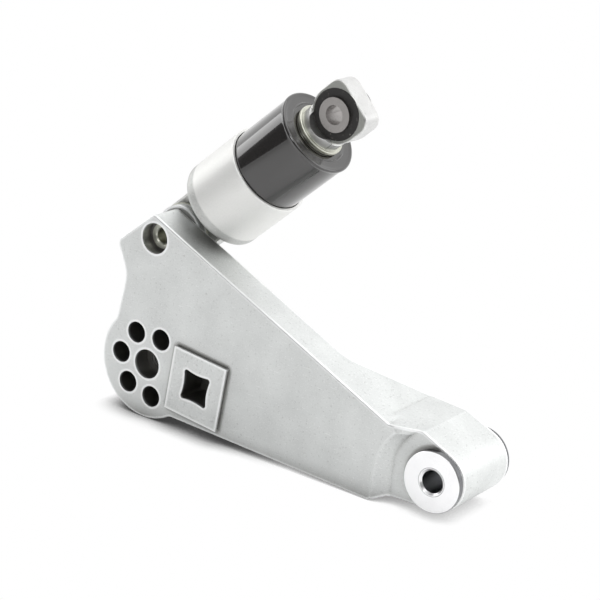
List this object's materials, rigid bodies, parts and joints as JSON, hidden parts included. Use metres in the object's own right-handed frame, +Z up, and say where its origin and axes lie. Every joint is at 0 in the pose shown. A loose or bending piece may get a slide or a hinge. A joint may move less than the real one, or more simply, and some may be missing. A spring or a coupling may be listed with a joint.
{
  "type": "belt tensioner",
  "caption": "Cast lever belt tensioner with a sprung hydraulic damper hung on a pin, a square drive and a bushed pivot.",
  "frame": {"origin": "on the pivot axis, in the plane of the lever's front face and of the pivot sleeve's front end", "axes": "+Y along the pivot axis, away from the front face and towards the engine; +Z up as the part stands on its lower edge; the lever reaches out towards -X"},
  "size_m": [0.198, 0.0522, 0.1747],
  "materials": {
    "cast_aluminium": "pressure die cast, fine blasted grain, satin",
    "damper_aluminium": "cast and turned, fine blasted grain, satin",
    "polished_steel": "pressed and polished",
    "bronze_bush": "sintered, plain",
    "black_nylon": "moulded, smooth and glossy",
    "zinc_plated_steel": "bright zinc plate, slightly yellow",
    "ground_steel": "ground, bright",
    "sleeve_steel": "drawn tube, satin",
    "spring_steel": "oiled spring wire, satin",
    "black_rubber": "moulded, matt"
  },
  "bodies": {
    "pivot": {"pivot_sleeve": "polished_steel", "pivot_flange_front": "polished_steel", "pivot_flange_rear": "polished_steel"},
    "lever": {"lever_arm": "cast_aluminium", "pivot_bush_front": "bronze_bush", "pivot_bush_rear": "bronze_bush", "dust_seal_front": "black_rubber", "dust_seal_rear": "black_rubber", "damper_pin": "zinc_plated_steel", "thrust_washer": "zinc_plated_steel", "rear_washer": "zinc_plated_steel", "retaining_ring": "zinc_plated_steel"},
    "cylinder": {"damper_housing": "damper_aluminium", "lug_bush": "bronze_bush", "pressure_tube": "ground_steel", "valve_seat": "ground_steel", "valve_ball": "ground_steel", "valve_cage": "ground_steel", "rod_guide": "damper_aluminium", "rod_seal": "black_rubber", "main_spring": "spring_steel"},
    "rod": {"piston_rod": "ground_steel", "piston": "ground_steel", "dust_cover": "black_nylon", "spring_seat": "zinc_plated_steel", "eye_washer": "zinc_plated_steel", "lock_nut": "zinc_plated_steel", "upper_eye": "damper_aluminium", "eye_rubber": "black_rubber", "eye_sleeve": "sleeve_steel"}
  },
  "joints": [
    {"name": "lever_pivot", "type": "hinge", "parent": "pivot", "child": "lever", "pos_m": [0, 0.0216, 0], "axis": [0, 1, 0], "continuous": true},
    {"name": "damper_swing", "type": "hinge", "parent": "lever", "child": "cylinder", "pos_m": [-0.1583, 0.0288, 0.0687], "axis": [0, -1, 0], "range_deg": [-6, 116]},
    {"name": "damper_stroke", "type": "slide", "parent": "cylinder", "child": "rod", "axis": [0.7266, 0, 0.6871], "range_m": [-0.009, 0], "stiffness_N_per_m": 14000, "springref_m": 0.004, "deforming": ["main_spring"]}
  ]
}
